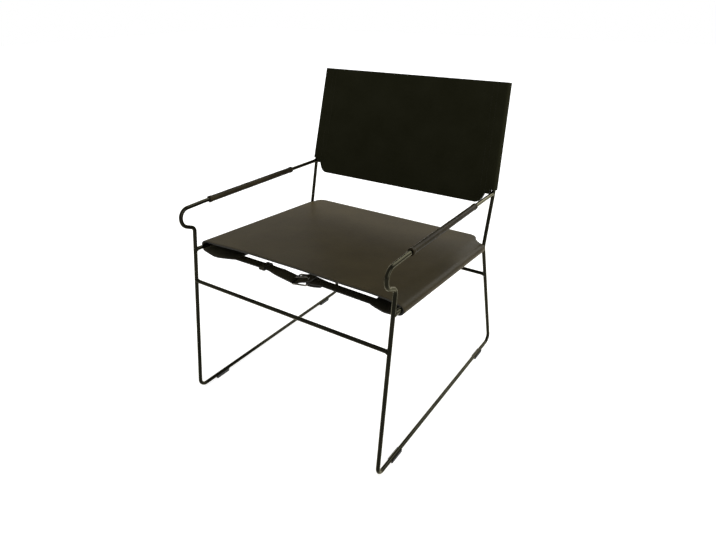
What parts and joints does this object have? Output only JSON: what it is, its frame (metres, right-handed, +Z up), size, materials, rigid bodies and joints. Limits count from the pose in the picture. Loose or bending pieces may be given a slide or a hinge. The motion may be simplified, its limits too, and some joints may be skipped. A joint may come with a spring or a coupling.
{
  "type": "leather sling lounge chair",
  "caption": "Low lounge armchair: bent black rod side frames with hooked arms, a leather seat slung over the rails and buckled below, and a leather back sleeved on the posts.",
  "frame": {"origin": "on the floor, under the middle of the chair's bounding box", "axes": "+Z up, -Y the way the chair faces, +X the sitter's left hand"},
  "size_m": [0.6006, 0.6641, 0.7899],
  "materials": {
    "powder_coat": "satin black powder coat on solid steel rod",
    "seat_leather": "matte saddle leather, dark brown",
    "back_leather": "matte saddle leather, near black",
    "arm_leather": "matte leather, dark grey brown",
    "strap_leather": "matte leather, dark",
    "buckle_metal": "dull nickel plate",
    "glide_plastic": "matte black"
  },
  "bodies": {
    "chair": {"side_frame_left": "powder_coat", "seat_rail_left": "powder_coat", "arm_sleeve_left": "arm_leather", "glide_front_left": "glide_plastic", "glide_rear_left": "glide_plastic", "side_frame_right": "powder_coat", "seat_rail_right": "powder_coat", "arm_sleeve_right": "arm_leather", "glide_front_right": "glide_plastic", "glide_rear_right": "glide_plastic", "front_stretcher": "powder_coat", "rear_stretcher": "powder_coat", "seat_sling": "seat_leather", "back_sling": "back_leather", "strap_rivet_front": "buckle_metal", "strap_rivet_middle": "buckle_metal", "strap_rivet_rear": "buckle_metal"},
    "buckle_front": {"buckle_frame_front": "buckle_metal"},
    "prong_front": {"buckle_prong_front": "buckle_metal"},
    "keeper_front": {"strap_keeper_front": "strap_leather"},
    "buckle_middle": {"buckle_frame_middle": "buckle_metal"},
    "prong_middle": {"buckle_prong_middle": "buckle_metal"},
    "keeper_middle": {"strap_keeper_middle": "strap_leather"},
    "buckle_rear": {"buckle_frame_rear": "buckle_metal"},
    "prong_rear": {"buckle_prong_rear": "buckle_metal"},
    "keeper_rear": {"strap_keeper_rear": "strap_leather"}
  },
  "joints": [
    {"name": "buckle_hinge_front", "type": "hinge", "parent": "chair", "child": "buckle_front", "pos_m": [0.03, -0.21299, 0.38457], "axis": [0, 0.9641, 0.2656], "range_deg": [0, 3]},
    {"name": "prong_hinge_front", "type": "hinge", "parent": "buckle_front", "child": "prong_front", "pos_m": [0.03, -0.21299, 0.38457], "axis": [0, 0.9641, 0.2656], "range_deg": [0, 8]},
    {"name": "keeper_slide_front", "type": "slide", "parent": "chair", "child": "keeper_front", "axis": [1, 0, 0], "range_m": [-0.075, 0]},
    {"name": "buckle_hinge_middle", "type": "hinge", "parent": "chair", "child": "buckle_middle", "pos_m": [0.03, -0.02889, 0.373], "axis": [0, 0.9641, 0.2656], "range_deg": [0, 3]},
    {"name": "prong_hinge_middle", "type": "hinge", "parent": "buckle_middle", "child": "prong_middle", "pos_m": [0.03, -0.02889, 0.373], "axis": [0, 0.9641, 0.2656], "range_deg": [0, 8]},
    {"name": "keeper_slide_middle", "type": "slide", "parent": "chair", "child": "keeper_middle", "axis": [1, 0, 0], "range_m": [-0.075, 0]},
    {"name": "buckle_hinge_rear", "type": "hinge", "parent": "chair", "child": "buckle_rear", "pos_m": [0.03, 0.15521, 0.36143], "axis": [0, 0.9641, 0.2656], "range_deg": [0, 3]},
    {"name": "prong_hinge_rear", "type": "hinge", "parent": "buckle_rear", "child": "prong_rear", "pos_m": [0.03, 0.15521, 0.36143], "axis": [0, 0.9641, 0.2656], "range_deg": [0, 8]},
    {"name": "keeper_slide_rear", "type": "slide", "parent": "chair", "child": "keeper_rear", "axis": [1, 0, 0], "range_m": [-0.075, 0]}
  ]
}
